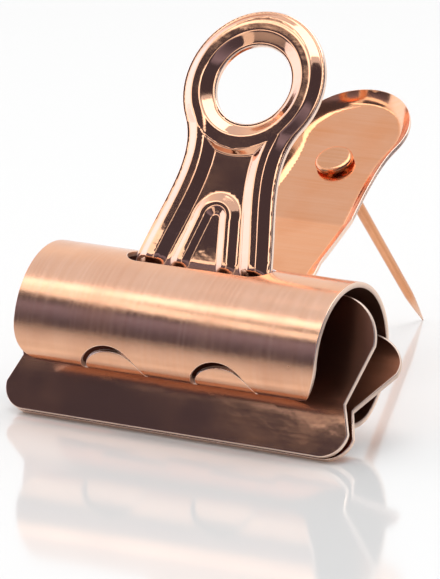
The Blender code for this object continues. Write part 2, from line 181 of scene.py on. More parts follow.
def pressed_sheet(name, loops, spots, shape, shade_and_dull, thickness, rounding, margin):
    """Sheet cut to a flat pattern and formed by shape(x, s, lift), with a rounded cut edge on each loop.

    The first loop is the outline and the others are holes. The spots are the pattern's inner points,
    and those within the margin of a cut are left out. The shading function, called with (s, side),
    says how far painted shade darkens the plating along the pattern, on its outer and its inner side,
    and how much duller the plating is there.
    """
    def on_sheet(at):
        found = inside(loops[0], at)
        for hole in loops[1:]:
            found &= ~inside(hole, at)
        return found

    def area(loop):
        x, s = loop.T
        return np.sum(x * np.roll(s, -1) - np.roll(x, -1) * s) / 2

    loops = [loop if (area(loop) > 0) == (i == 0) else loop[::-1] for i, loop in enumerate(loops)]
    border = np.concatenate(loops)
    near = KDTree(len(border))
    for i, point in enumerate(border):
        near.insert((*point, 0), i)
    near.balance()
    spots = [p for p in spots[on_sheet(spots)] if near.find((*p, 0))[2] > margin]
    joins, first = [], 0
    for loop in loops:
        joins += [(first + i, first + (i + 1) % len(loop)) for i in range(len(loop))]
        first += len(loop)
    points = [Vector(p) for p in np.concatenate([border, spots])]
    within_outline, same_point = 1, 1e-8
    flat, _, faces, came_from, *_ = delaunay_2d_cdt(points, joins, [], within_outline, same_point)
    index = {old: new for new, olds in enumerate(came_from) for old in olds}
    flat, faces = np.array(flat), np.array(faces)
    faces = faces[on_sheet(flat[faces].mean(axis=1))]

    x, s = flat.T
    tiny = 2e-5
    across = (shape(x + tiny, s, 0) - shape(x - tiny, s, 0)) / (2 * tiny)
    along = (shape(x, s + tiny, 0) - shape(x, s - tiny, 0)) / (2 * tiny)
    normal = np.cross(across, along)
    normal /= np.linalg.norm(normal, axis=1)[:, None]
    outer, inner = shape(x, s, thickness / 2), shape(x, s, -thickness / 2)
    through = (outer - inner) / thickness
    count = len(flat)
    places, normals = [outer, inner], [normal, -normal]
    pattern = [np.column_stack([flat, np.full(count, side)]) for side in (thickness, -thickness)]
    # Rims get a paler plating: worn cut edges, and a painted highlight along them.
    worn_and_sheen = [np.zeros(2 * count)]
    quads, first, used = [], 0, 2 * count
    flat_half = thickness / 2 - rounding
    rows = [(flat_half, turn) for turn in (60, 30, 0)] + [(-flat_half, turn) for turn in (0, -30, -60)]
    for loop in loops:
        ring = np.array([index[first + i] for i in range(len(loop))])
        first += len(loop)
        run = np.roll(loop, -1, axis=0) - np.roll(loop, 1, axis=0)
        out = across[ring] * run[:, 1:] - along[ring] * run[:, :1]
        out -= normal[ring] * np.sum(out * normal[ring], axis=1)[:, None]
        out /= np.linalg.norm(out, axis=1)[:, None]
        rings = [ring]
        for level, turn in rows:
            rise, reach = math.sin(math.radians(turn)), math.cos(math.radians(turn))
            place = (shape(*loop.T, 0) + through[ring] * (level + rounding * rise)) + out * rounding * reach
            places.append(place)
            normals.append(normal[ring] * rise + out * reach)
            pattern.append(np.column_stack([loop, np.full(len(loop), level)]))
            worn_and_sheen.append(np.ones(len(loop)))
            rings.append(np.arange(used, used + len(loop)))
            used += len(loop)
        rings.append(ring + count)
        for upper, lower in zip(rings, rings[1:]):
            quads.append(np.stack([upper, lower, np.roll(lower, -1), np.roll(upper, -1)], axis=1))

    mesh = bpy.data.meshes.new(name)
    skins = np.concatenate([faces, faces[:, ::-1] + count]).tolist()
    mesh.from_pydata(np.concatenate(places).tolist(), [], skins + np.concatenate(quads).tolist())
    mesh.shade_smooth()
    pattern = np.concatenate(pattern)
    noted(mesh, "flat", pattern)
    noted(mesh, "worn_and_sheen", np.concatenate(worn_and_sheen))
    noted(mesh, "shade_and_dull", shade_and_dull(pattern[:, 1], pattern[:, 2]))
    mesh.normals_split_custom_set_from_vertices(np.concatenate(normals).tolist())
    piece = bpy.data.objects.new(name, mesh)
    bpy.context.scene.collection.objects.link(piece)
    return piece


def put(tree, kind, inputs=(), **settings):
    """A new node, with each of its inputs set to a value or joined to another node's output."""
    node = tree.nodes.new(kind)
    for key, value in settings.items():
        setattr(node, key, value)
    for key, value in dict(inputs).items():
        if isinstance(value, bpy.types.NodeSocket):
            tree.links.new(value, node.inputs[key])
        else:
            node.inputs[key].default_value = value
    return node


def plating(name, tone, tarnish, worn_and_sheen, roughness, grain, shift):
    """Bright plating on rolled sheet: cloudy tarnish, rolling lines, small pits and paler cut edges.

    The rolling lines run along the axis in which the grain is stretched, and a rougher plating shows them
    more. The shift gives each piece marks of its own. Where the sheet lies in shade inside the barrel, its
    colour is darkened towards a deep brown as painted shade, and it is made rougher there. The paler cut
    edges stand for worn plating and also paint a highlight along the rims.
    """
    material = bpy.data.materials.new(name)
    material.use_nodes = True
    tree = material.node_tree
    shader = tree.nodes["Principled BSDF"]
    shader.inputs["Metallic"].default_value = 1

    def noted_value(attribute, output):
        return put(tree, "ShaderNodeAttribute", attribute_name=attribute).outputs[output]

    def mapped(vector, **change):
        return put(tree, "ShaderNodeMapping", {"Vector": vector, **change}).outputs["Vector"]

    def noise(vector, scale, detail, low, high):
        cells = put(tree, "ShaderNodeTexNoise", {"Vector": vector, "Scale": scale, "Detail": detail})
        span = {"Value": cells.outputs["Fac"], "From Min": low, "From Max": high}
        return put(tree, "ShaderNodeMapRange", span).outputs["Result"]

    def mixed(share, strength, below, above):
        share = put(tree, "ShaderNodeMath", {0: share, 1: strength}, operation="MULTIPLY").outputs[0]
        return put(tree, "ShaderNodeMix", {0: share, 6: below, 7: above}, data_type="RGBA").outputs[2]

    def added(share, strength, base):
        sum_of = {0: share, 1: strength, 2: base}
        return put(tree, "ShaderNodeMath", sum_of, operation="MULTIPLY_ADD").outputs[0]

    moved = mapped(noted_value("flat", "Vector"), Location=(shift, shift * 0.7, 0))
    lines = mapped(moved, Scale=grain)
    clouds = noise(moved, scale=210, detail=5, low=0.42, high=0.74)
    rolling = noise(lines, scale=5200, detail=3, low=0.30, high=0.72)
    waves = noise(moved, scale=700, detail=2, low=0.2, high=0.8)
    pits = noise(moved, scale=2600, detail=2, low=0.76, high=0.82)
    edge = noted_value("worn_and_sheen", "Fac")
    shade_and_dull = noted_value("shade_and_dull", "Fac")

    colour = mixed(clouds, 0.45, (*tone, 1), (*tarnish, 1))
    colour = mixed(rolling, roughness * 0.65, colour, (*worn_and_sheen, 1))
    colour = mixed(pits, 0.5, colour, (*tarnish, 1))
    # Painted shade: the sheet is darkened towards a deep brown where it lies in shade inside the barrel.
    colour = mixed(shade_and_dull, 0.85, colour, (*PAINTED_SHADE_BROWN, 1))
    # Paler rims: worn plating on the cut edges, with a painted highlight along them as well.
    colour = mixed(edge, 0.75, colour, (*worn_and_sheen, 1))
    tree.links.new(colour, shader.inputs["Base Color"])
    rough = added(rolling, roughness * 0.33, added(clouds, 0.08, roughness))
    rough = added(shade_and_dull, 0.28, added(edge, 0.10, added(pits, 0.10, rough)))
    tree.links.new(rough, shader.inputs["Roughness"])
    height = added(pits, -0.10, added(rolling, roughness * 0.6, waves))
    bump = put(tree, "ShaderNodeBump", {"Strength": 1.0, "Distance": 0.000008, "Height": height})
    tree.links.new(bump.outputs["Normal"], shader.inputs["Normal"])
    return material


middle = BARREL_RADIUS - BARREL_SHEET / 2
jaw_tip = Vector(((JAW_GAP + LEVER_SHEET) / 2, -JAW_BEND_DEPTH - JAW_LENGTH * math.cos(JAW_ANGLE)))
jaw_bend = jaw_tip + Vector((math.sin(JAW_ANGLE), math.cos(JAW_ANGLE))) * JAW_LENGTH
curl_reach = math.sin(BARREL_WRAP) * (middle - CURL_RADIUS) - jaw_bend.x - LEVER_SHEET / 2 - CLEARANCE
curl = math.pi + math.asin(curl_reach / (CURL_RADIUS + BARREL_SHEET / 2)) - BARREL_WRAP
turns = [-BARREL_WRAP - curl, -BARREL_WRAP, BARREL_WRAP, BARREL_WRAP + curl]
girths = [CURL_RADIUS * curl, middle * 2 * BARREL_WRAP, CURL_RADIUS * curl]
barrel_line, girth = rolled_line(girths, [math.pi / 2 + t for t in turns], sum(girths) / 2, (0, middle))


def barrel_shape(x, s, lift):
    """The rolled barrel, with its half-moon tongues pressed in."""
    above = np.minimum(s, girth - s) - TONGUE_BASE
    beside = np.abs(np.abs(x) - TONGUE_OFFSET)
    ends, crown = TONGUE_RADIUS - TONGUE_SLIT / 2, TONGUE_RADIUS - TONGUE_DROP / 2
    on_tongue = (above > 0) & (np.hypot(beside / ends, above / crown) < 1)
    return stood(x, *barrel_line(s, lift - on_tongue * TONGUE_PRESS * above / TONGUE_RADIUS))


# Painted shade: the barrel's inner side, which lies in its own shade, is darkened and made duller.
def barrel_shade_and_dull(s, side):
    return np.where(side < 0, INSIDE_SHADE_AND_DULL, 0)


half = BARREL_LENGTH / 2
barrel_side = np.concatenate([
    [(0, 0)],
    arc((half - BARREL_CORNER, BARREL_CORNER), BARREL_CORNER, -math.pi / 2, 0),
    arc((half - BARREL_CORNER, girth - BARREL_CORNER), BARREL_CORNER, 0, math.pi / 2),
    [(0, girth)],
])
barrel_cuts = [cut_line(both_sides(barrel_side), EDGE_STEP)]
for s, width in (
    (girth / 2 - middle * SLOT_ANGLE - FRONT_SLOT_SHIFT, FRONT_SLOT_WIDTH),
    (girth / 2 + middle * SLOT_ANGLE, REAR_SLOT_WIDTH),
):
    end = arc((SLOT_HALF_LENGTH - width / 2, s), width / 2, -math.pi / 2, math.pi / 2)
    barrel_cuts.append(cut_line(np.concatenate([end, (0, 2 * s) - end]), EDGE_STEP))
slit = np.concatenate([
    arc((0, 0), TONGUE_RADIUS, 0, math.pi),
    arc((0, 0), 1, math.pi, 0) * (TONGUE_RADIUS - TONGUE_SLIT, TONGUE_RADIUS - TONGUE_DROP),
])
for x in (-TONGUE_OFFSET, TONGUE_OFFSET):
    barrel_cuts.append(cut_line(slit + (x, TONGUE_BASE), FINE_EDGE_STEP))
    barrel_cuts.append(cut_line(slit * (1, -1) + (x, girth - TONGUE_BASE), FINE_EDGE_STEP))

barrel = pressed_sheet(
    "barrel", barrel_cuts, spread(half, 0, girth, BARREL_STEP), barrel_shape, barrel_shade_and_dull,
    BARREL_SHEET, BARREL_ROUNDING, BARREL_MARGIN,
)
barrel.data.materials.append(plating(
    "barrel_plating", ROSE, ROSE_TARNISH, ROSE_WORN_AND_SHEEN, BARREL_ROUGHNESS, BARREL_GRAIN, BARREL_SHIFT
))
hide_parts("spring_barrel")
tuple(stood(0, SPRING_HALF_WIDTH, middle))
tuple(stood(0, -SPRING_HALF_WIDTH, middle))
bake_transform(barrel)

# Front lever: sheet steel, plated like the barrel. One pressing makes the wide plate inside the barrel,
# the jaw below it and, through the barrel's front slot, the handle: a ring on two ribbed legs, with a
# sunk panel between them and an arched ridge at its foot.
JAW_WIDTH = 0.0310
WAIST_WIDTH = 0.0292
PLATE_WIDTH = 0.0324
JAW_CORNER = 0.0020
SHOULDER_CORNER = 0.0035
SHOULDER_DROP = 0.0010
BEND_RADIUS = 0.0012
FRONT_LEAN = math.radians(-3)
RING_RADIUS = 0.00618
RING_HOLE = 0.00342
RING_RISE = 0.0151
RING_JOIN = math.radians(-32)
FOOT = 0.0060
LEG_WIDTH = 0.0029
LEG_REACH = 0.0050
LEG_SLOPE = 0.2
LEG_EASE = 0.75
LEG_POINTS = 50
PAST_TOP = 0.2
RING_EDGE_TURN = 0.01
BEAD_HEIGHT = 0.00048
BEAD_INSET = 0.0001
BEAD_SOFTNESS = 0.25
RIB_FLANKS = (0.00100, 0.00125)
HOOP_INNER_FLANK = 0.00105
HOOP_OUTER_FLANK = 0.00045
HOOP_FILLET = 0.00008
ARCH_HALF_WIDTH = 0.0013
ARCH_FOOT = 0.0021
ARCH_RISE = 0.0050
ARCH_BEAD = 0.0010
ARCH_FLANKS = (0.0008, 0.0010)
ARCH_HEIGHT = 0.00027
ARCH_FILLET = 0.0001
PLATE_STEP = 0.0006
PLATE_STOP = 0.0003
HANDLE_START = 0.0002
FRONT_REACH = 0.0075
FRONT_STEP = 0.0002
FRONT_GAP = 0.00014
BEAD_STEP = 0.0001
BEAD_RUN = 0.0002
BEAD_GAP = 0.00008
LEVER_ROUNDING = 0.0001
FRONT_MARGIN = 0.0001
LEVER_GRAIN = (0.025, 1, 1)
FRONT_ROUGHNESS = 0.045
FRONT_SHIFT = 0.037
JAW_BRIGHT = 0.0028
# Painted shade along a lever: faint on its jaw, deep where it runs inside the barrel, none on its handle. The
# same share makes the plating duller.
LEVER_SHADE_AND_DULL = (0.12, 0.16, INSIDE_SHADE_AND_DULL, INSIDE_SHADE_AND_DULL, 0)


def cornered_line(points, radii):
    """A side profile of straight runs with rounded corners, which starts at the first point."""
    ways = [b - a for a, b in zip(points, points[1:])]
    headings = [math.atan2(way.x, way.y) for way in ways]
    bends = [(radius, b - a) for radius, a, b in zip(radii, headings, headings[1:])]
    cuts = [0] + [radius * math.tan(abs(turn) / 2) for radius, turn in bends] + [0]
    lengths, marks = [], [headings[0]]
    for i, way in enumerate(ways):
        lengths.append(way.length - cuts[i] - cuts[i + 1])
        marks.append(headings[i])
        if i < len(bends):
            lengths.append(bends[i][0] * abs(bends[i][1]))
            marks.append(headings[i + 1])
    return rolled_line(lengths, marks, 0, points[0])


def plate_side(shoulder):
    """The right side of a lever's plate, from its jaw up to the foot of its handle."""
    plate = PLATE_WIDTH / 2 - SHOULDER_CORNER
    return np.concatenate([
        [(0, 0)],
        arc((JAW_WIDTH / 2 - JAW_CORNER, JAW_CORNER), JAW_CORNER, -math.pi / 2, 0),
        [(WAIST_WIDTH / 2, JAW_LENGTH)],
        arc((plate, shoulder - SHOULDER_CORNER), SHOULDER_CORNER, 0, math.pi / 2),
        [(FOOT, shoulder)],
    ])


def leg_side(foot, rise, centre, radius, join, reach, ease):
    """The right side of a handle, from its foot up to where it runs smoothly into its round end."""
    meets = Vector((math.cos(join), math.sin(join))) * radius + Vector((0, centre))
    upward = Vector((-math.sin(join), math.cos(join)))
    before = meets - upward * reach * ease
    return np.array(interpolate_bezier(Vector(foot), Vector(rise), before, meets, LEG_POINTS))[:, :2]


def lever_shade_and_dull(shoulder, slot):
    """Painted shade along a lever's pattern, and its dullness: none on the handle, faint on the jaw, deep
    inside the barrel.
    """
    def shade_and_dull(s, side):
        return np.interp(s, [0, JAW_BRIGHT, JAW_LENGTH, shoulder, slot], LEVER_SHADE_AND_DULL)

    return shade_and_dull


def raised(distance, half_width, flanks):
    """A rib's height share at a distance from its middle line: flat on top, with two even flanks."""
    share = np.clip((half_width - np.abs(distance)) / np.where(distance < 0, *flanks), 0, 1)
    soft = BEAD_SOFTNESS
    foot, top = np.minimum(share, soft), np.maximum(share - 1 + soft, 0)
    return (foot * foot / (2 * soft) + np.clip(share - soft, 0, None) - top * top / (2 * soft)) / (1 - soft)


def merged(one, other, soft):
    """The higher of two reliefs, with a soft fillet where they meet."""
    share = np.clip(0.5 + 0.5 * (one - other) / soft, 0, 1)
    fillet = soft * share * (1 - share) * np.minimum(1, np.maximum(one, other) / soft)
    return other + (one - other) * share + fillet


def thinned(kept, extra, gap):
    """The kept points and those of the extra ones that lie at least a gap away from all the others."""
    cells = {}
    found = list(kept)
    for i, point in enumerate(list(kept) + list(extra)):
        column, row = int(point[0] // gap), int(point[1] // gap)
        around = [cells.get((column + a, row + b), ()) for a in (-1, 0, 1) for b in (-1, 0, 1)]
        if i >= len(kept):
            if any(math.dist(point, other) < gap for cell in around for other in cell):
                continue
            found.append(point)
        cells.setdefault((column, row), []).append(tuple(point))
    return np.array(found)


def slot_point(side):
    """Where a lever passes through its slot: side is -1 for the front slot and 1 for the rear one."""
    return Vector((side * math.sin(SLOT_ANGLE), math.cos(SLOT_ANGLE))) * middle


front_way = Vector((math.sin(FRONT_LEAN), math.cos(FRONT_LEAN)))
handle_top = slot_point(-1) + front_way * (RING_RISE + RING_RADIUS)
front_bends = [Vector((-jaw_tip.x, jaw_tip.y)), Vector((-jaw_bend.x, jaw_bend.y)), slot_point(-1), handle_top]
front_line, front_length = cornered_line(front_bends, [BEND_RADIUS, BEND_RADIUS])
front_slot = front_length - RING_RISE - RING_RADIUS
front_shoulder = front_slot - SHOULDER_DROP
ring = front_length - RING_RADIUS
arch_crown = front_slot + ARCH_RISE - ARCH_HALF_WIDTH
leg_foot = (FOOT, front_slot)
leg_rise = (FOOT - LEG_REACH * LEG_SLOPE, front_slot + LEG_REACH)
leg_edge = leg_side(leg_foot, leg_rise, ring, RING_RADIUS, RING_JOIN, LEG_REACH, LEG_EASE)
ring_edge = arc((0, ring), RING_RADIUS, RING_JOIN, math.pi / 2 + PAST_TOP, RING_EDGE_TURN)
handle_edge = np.concatenate([leg_edge[:-1], ring_edge])
edge_run = np.gradient(handle_edge, axis=0)
edge_in = np.stack([-edge_run[:, 1], edge_run[:, 0]], axis=1) / np.linalg.norm(edge_run, axis=1)[:, None]
edge_near = KDTree(len(handle_edge))
for i, p in enumerate(handle_edge):
    edge_near.insert((*p, 0), i)
edge_near.balance()


def front_relief(x, s):
    """How far the sheet is raised: a rib along the handle's edge, a hoop round the hole and an arch."""
    found = np.zeros(len(x))
    on_handle = np.flatnonzero(s > front_shoulder)
    at = np.stack([np.abs(x), s], axis=1)[on_handle]
    nearest = [edge_near.find((*p, 0))[1] for p in at]
    inset = np.sum((at - handle_edge[nearest]) * edge_in[nearest], axis=1)
    x, s = at.T
    rib = raised(inset - LEG_WIDTH / 2, LEG_WIDTH / 2 - BEAD_INSET, RIB_FLANKS)
    ring_half = (RING_RADIUS - RING_HOLE) / 2
    off_centre = np.hypot(x, s - ring)
    flanks = (HOOP_INNER_FLANK, HOOP_OUTER_FLANK * (1 + x / off_centre))
    hoop = raised(off_centre - RING_HOLE - ring_half, ring_half - BEAD_INSET, flanks)
    arch_half = np.interp(s, [front_slot, arch_crown], [ARCH_FOOT, ARCH_HALF_WIDTH])
    arch = raised(np.hypot(x, np.maximum(0, s - arch_crown)) - arch_half, ARCH_BEAD, ARCH_FLANKS)
    start = np.clip((s - front_shoulder) / SHOULDER_DROP, 0, 1)
    ribs = merged(BEAD_HEIGHT * hoop, BEAD_HEIGHT * rib, HOOP_FILLET)
    found[on_handle] = start * start * (3 - 2 * start) * merged(ribs, ARCH_HEIGHT * arch, ARCH_FILLET)
    return found


def front_shape(x, s, lift):
    return stood(x, *front_line(s, lift + front_relief(x, s)))


front_side = np.concatenate([
    plate_side(front_shoulder), leg_edge, arc((0, ring), RING_RADIUS, RING_JOIN, math.pi / 2)
])
front_cuts = [
    cut_line(both_sides(front_side), EDGE_STEP),
    cut_line(arc((0, ring), RING_HOLE, 0, math.tau), FINE_EDGE_STEP),
]
ring_rows = [
    arc((0, ring), r, 0, math.tau, BEAD_RUN / r)[:-1] for r in np.arange(RING_HOLE, RING_RADIUS, BEAD_STEP)
]
leg_rows = [
    (handle_edge + edge_in * d)[:len(leg_edge)]
    for d in np.arange(BEAD_STEP, LEG_WIDTH + 2 * BEAD_STEP, BEAD_STEP)
]
arch_rows = []
stem = np.arange(front_shoulder, arch_crown, BEAD_RUN)
wider = np.interp(stem, [front_slot, arch_crown], [ARCH_FOOT - ARCH_HALF_WIDTH, 0])
for r in np.arange(ARCH_HALF_WIDTH - ARCH_BEAD, ARCH_HALF_WIDTH + ARCH_BEAD, BEAD_STEP):
    arch_rows += [np.column_stack([side * (r + wider), stem]) for side in (-1, 1)]
    arch_rows.append(arc((0, arch_crown), r, 0, math.pi))
front_spots = thinned([], np.concatenate(ring_rows), BEAD_GAP)
for rows in (leg_rows, [row * (-1, 1) for row in leg_rows], arch_rows):
    front_spots = thinned(front_spots, np.concatenate(rows), BEAD_GAP)
handle_spots = spread(FRONT_REACH, front_shoulder - HANDLE_START, front_length, FRONT_STEP)
plate_spots = spread(PLATE_WIDTH / 2, 0, front_shoulder - PLATE_STOP, PLATE_STEP)
front_spots = np.concatenate([plate_spots, thinned(front_spots, handle_spots, FRONT_GAP)])

front = pressed_sheet(
    "front_handle", front_cuts, front_spots, front_shape, lever_shade_and_dull(front_shoulder, front_slot),
    LEVER_SHEET, LEVER_ROUNDING, FRONT_MARGIN,
)
front.data.materials.append(plating(
    "front_plating", ROSE, ROSE_TARNISH, ROSE_WORN_AND_SHEEN, FRONT_ROUGHNESS, LEVER_GRAIN, FRONT_SHIFT
))
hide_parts("front_lever")
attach(front, "front")

# Rear lever: the same plated sheet as the front one. Its plate is bowed along the inside of the barrel,
# and its handle is a long tongue that leans back, with a crease, a round end and a turned-up rim.
REAR_LEAN = math.radians(38.5)
REAR_CREASE = 0.0112
CREASE_RADIUS = 0.0014
BOW_ANGLE = math.radians(60)
BOW_GAP = 0.0005
BOW_RADIUS = 0.0025
REAR_SHOULDER_DROP = 0.0018
REAR_END_LEAN = math.radians(26)
PIN_RISE = 0.0070
HEAD_RISE = 0.00325
REAR_HEAD = 0.0051
REAR_JOIN = math.radians(-15)
REAR_REACH = 0.0080
REAR_EASE = 0.5
RIM_HEIGHT = 0.0009
RIM_WIDTH = 0.0011
RIM_RUN_IN = 3 * RIM_WIDTH
RIM_CURVE = 1.5
RIM_LIMIT = 1.1
PIN_RADIUS = 0.00050
HOLE_TURN = math.radians(15)
REAR_HALF_WIDTH = 0.0070
REAR_STEP = 0.00025
REAR_MARGIN = 0.00015
REAR_ROUGHNESS = 0.11
REAR_SHIFT = 0.061
WARM_ROSE = (0.83, 0.375, 0.185)
WARM_TARNISH = (0.72, 0.23, 0.06)

crease = slot_point(1) + Vector((math.sin(REAR_LEAN), math.cos(REAR_LEAN))) * REAR_CREASE
end_way = Vector((math.sin(REAR_END_LEAN), math.cos(REAR_END_LEAN)))
tongue_top = crease + end_way * (PIN_RISE + HEAD_RISE + REAR_HEAD)
bow = Vector((math.sin(BOW_ANGLE), math.cos(BOW_ANGLE)))
bow *= BARREL_RADIUS - BARREL_SHEET - LEVER_SHEET / 2 - BOW_GAP
rear_bends = [jaw_tip, jaw_bend, bow, slot_point(1), crease, tongue_top]
rear_line, rear_length = cornered_line(rear_bends, [BEND_RADIUS, BOW_RADIUS, BEND_RADIUS, CREASE_RADIUS])
rear_slot = rear_length - REAR_CREASE - PIN_RISE - HEAD_RISE - REAR_HEAD
rear_shoulder = rear_slot - REAR_SHOULDER_DROP
head = rear_length - REAR_HEAD
pin_hole = head - HEAD_RISE
tongue_foot, tongue_rise = (FOOT, rear_slot), (FOOT, rear_slot + REAR_REACH)
tongue_edge = leg_side(tongue_foot, tongue_rise, head, REAR_HEAD, REAR_JOIN, REAR_REACH, REAR_EASE)


def rear_shape(x, s, lift):
    """The bent rear lever, with the rim that rises towards its handle's edge."""
    round_end = REAR_HEAD - np.hypot(x, s - head)
    straight = np.interp(s, tongue_edge[:, 1], tongue_edge[:, 0]) - np.abs(x)
    inset = np.where(s > tongue_edge[-1, 1], round_end, straight)
    share = np.clip(1 - inset / RIM_WIDTH, 0, RIM_LIMIT)
    start = np.clip((s - rear_slot - RIM_WIDTH) / RIM_RUN_IN, 0, 1)
    return stood(x, *rear_line(s, lift + start * RIM_HEIGHT * share ** RIM_CURVE))


rear_side = np.concatenate([
    plate_side(rear_shoulder), tongue_edge, arc((0, head), REAR_HEAD, REAR_JOIN, math.pi / 2)
])
rear_cuts = [
    cut_line(both_sides(rear_side), EDGE_STEP),
    cut_line(arc((0, pin_hole), PIN_RADIUS + CLEARANCE, 0, math.tau, HOLE_TURN), EDGE_STEP),
]
rear_spots = np.concatenate([
    spread(PLATE_WIDTH / 2, 0, rear_shoulder - PLATE_STOP, PLATE_STEP),
    spread(REAR_HALF_WIDTH, rear_shoulder - HANDLE_START, rear_length, REAR_STEP),
])

rear = pressed_sheet(
    "rear_handle", rear_cuts, rear_spots, rear_shape, lever_shade_and_dull(rear_shoulder, rear_slot),
    LEVER_SHEET, LEVER_ROUNDING, REAR_MARGIN,
)
rear.data.materials.append(plating(
    "rear_plating", WARM_ROSE, WARM_TARNISH, ROSE_WORN_AND_SHEEN, REAR_ROUGHNESS, LEVER_GRAIN, REAR_SHIFT
))
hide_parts("rear_lever")
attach(rear, "rear")

# Push pin: drawn steel wire with a low round head, a ground point and a thin copper-coloured plating.
# It is pushed through the rear handle from the front and fixed there, leaning a little down.
PIN_LENGTH = 0.0226
PIN_TILT = math.radians(13.5)
PIN_TAPER_RADIUS = 0.00040
PIN_POINT_RADIUS = 0.00006
PIN_POINT_LENGTH = 0.0040
PIN_POINT_CURVE = 1.3
PIN_HEAD_RADIUS = 0.0016
PIN_HEAD_HEIGHT = 0.0004
PIN_HEAD_FLAT = 0.0013
PIN_HEAD_ROUND = 0.0003
PIN_HEAD_DOME = 0.02
PIN_HEAD_EDGE = 0.00003
PIN_HEAD_BEVEL = 0.00005
PIN_HEAD_CENTRE = 0.0001
PIN_HEAD_ROWS = 9
PIN_SHAFT_ROWS = 30
PIN_POINT_ROWS = 12
PIN_SIDES = 40
PIN_GIRTH = 0.003
PIN_SHARP = math.radians(40)
PIN_ROUGHNESS = 0.15
PIN_SHIFT = 0.083
PALE_ROSE = (0.74, 0.33, 0.155)
PALE_TARNISH = (0.56, 0.22, 0.09)

seat = Vector(float(p) for p in rear_line(pin_hole, 0))
back = Vector((end_way.y, -end_way.x))
away = Matrix.Rotation(PIN_TILT, 2) @ back
under = -LEVER_SHEET / 2 - CLEARANCE
face = under - PIN_HEAD_HEIGHT
point = LEVER_SHEET / 2 + PIN_LENGTH
pin_rows = [
    (radius, face + PIN_HEAD_DOME * radius * radius / PIN_HEAD_RADIUS, back)
    for radius in np.linspace(PIN_HEAD_CENTRE, PIN_HEAD_FLAT, PIN_HEAD_ROWS)
]
for turn in range(15, 91, 15):
    across, down = math.sin(math.radians(turn)), 1 - math.cos(math.radians(turn))
    radius = PIN_HEAD_FLAT + PIN_HEAD_ROUND * across
    pin_rows.append((radius, face + PIN_HEAD_EDGE + PIN_HEAD_ROUND * down, back))
pin_rows += [
    (PIN_HEAD_RADIUS, under + PIN_HEAD_EDGE, back),
    (PIN_HEAD_RADIUS - PIN_HEAD_BEVEL, under, back),
    (PIN_RADIUS, under, back),
]
for share in np.linspace(0, 1, PIN_SHAFT_ROWS):
    radius = PIN_RADIUS + (PIN_TAPER_RADIUS - PIN_RADIUS) * share
    pin_rows.append((radius, LEVER_SHEET + (point - PIN_POINT_LENGTH - LEVER_SHEET) * share, away))
for share in np.linspace(0.05, 1, PIN_POINT_ROWS):
    radius = PIN_POINT_RADIUS + (PIN_TAPER_RADIUS - PIN_POINT_RADIUS) * (1 - share ** PIN_POINT_CURVE)
    pin_rows.append((radius, point - PIN_POINT_LENGTH * (1 - share), away))

round_wire = np.linspace(0, math.tau, PIN_SIDES, endpoint=False)
pin_places = []
for radius, depth, way in pin_rows:
    centre, rise = seat + way * depth, Vector((-way.y, way.x))
    pin_places.append(stood(
        radius * np.cos(round_wire),
        centre.x - rise.x * radius * np.sin(round_wire),
        centre.y - rise.y * radius * np.sin(round_wire),
    ))
pin_places = np.concatenate(pin_places)
pin_faces = [list(range(PIN_SIDES))]
for row in range(len(pin_rows) - 1):
    here, there = row * PIN_SIDES, (row + 1) * PIN_SIDES
    for i in range(PIN_SIDES):
        j = (i + 1) % PIN_SIDES
        pin_faces.append((here + j, here + i, there + i, there + j))
pin_faces.append([len(pin_rows) * PIN_SIDES - 1 - i for i in range(PIN_SIDES)])
along_pin = np.repeat([depth for _, depth, _ in pin_rows], PIN_SIDES)
round_pin = np.tile(np.linspace(0, PIN_GIRTH, PIN_SIDES), len(pin_rows))
pin_flat = np.column_stack([along_pin, round_pin, np.zeros(len(along_pin))])
on_head = along_pin < 0
pin_flat[on_head] = pin_places[on_head]

pin_mesh = bpy.data.meshes.new("pin")
pin_mesh.from_pydata(pin_places.tolist(), [], pin_faces)
noted(pin_mesh, "flat", pin_flat)
noted(pin_mesh, "worn_and_sheen", np.clip((along_pin - point + PIN_POINT_LENGTH) / PIN_POINT_LENGTH, 0, 1))
pin_mesh.shade_smooth()
pin_mesh.set_sharp_from_angle(angle=PIN_SHARP)
pin = bpy.data.objects.new("pin", pin_mesh)
bpy.context.scene.collection.objects.link(pin)
pin.data.materials.append(plating(
    "pin_plating", PALE_ROSE, PALE_TARNISH, ROSE_WORN_AND_SHEEN, PIN_ROUGHNESS, LEVER_GRAIN, PIN_SHIFT
))
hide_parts("push_pin")
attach(pin, "rear")

# Floor: a smooth white sheet with a slight gloss. It lies flat under the clip, where it takes a soft
# shadow and a faint reflection.
FLOOR_SIZE = 6
FLOOR_WHITE = (0.92, 0.92, 0.92)
FLOOR_ROUGHNESS = 0.08
FLOOR_IOR = 2.0

bpy.ops.mesh.primitive_plane_add(size=FLOOR_SIZE)
floor = bpy.context.object
floor.name = "floor"
floor_paint = bpy.data.materials.new("floor_paint")
floor_paint.use_nodes = True
floor_shader = floor_paint.node_tree.nodes["Principled BSDF"]
floor_shader.inputs["Base Color"].default_value = (*FLOOR_WHITE, 1)
floor_shader.inputs["Roughness"].default_value = FLOOR_ROUGHNESS
floor_shader.inputs["IOR"].default_value = FLOOR_IOR
floor.data.materials.append(floor_paint)

# Dark cards: two tall curved cards round the front and the right of the clip, with a narrow gap between
# them. Their reflections draw the metal's dark bands, and the gap draws a bright line in those.
CARD_DISTANCE = 0.60
CARD_LIFT = 0.001
CARD_COLUMNS = 40
CARD_ROWS = 12
FRONT_CARD = (-56, -16, 43.4)
RIGHT_CARD = (-4, 130, 62)
CARD_FOOT_TONE = (0.068, 0.066, 0.106)
CARD_TOP_TONE = (0.070, 0.068, 0.104)
CARD_TONES = ((0.16, 0.09), (0.30, 0.17), (0.48, 0.27), (0.60, 0.068))
CARD_COOLNESS = (1, 1.02, 1.62)


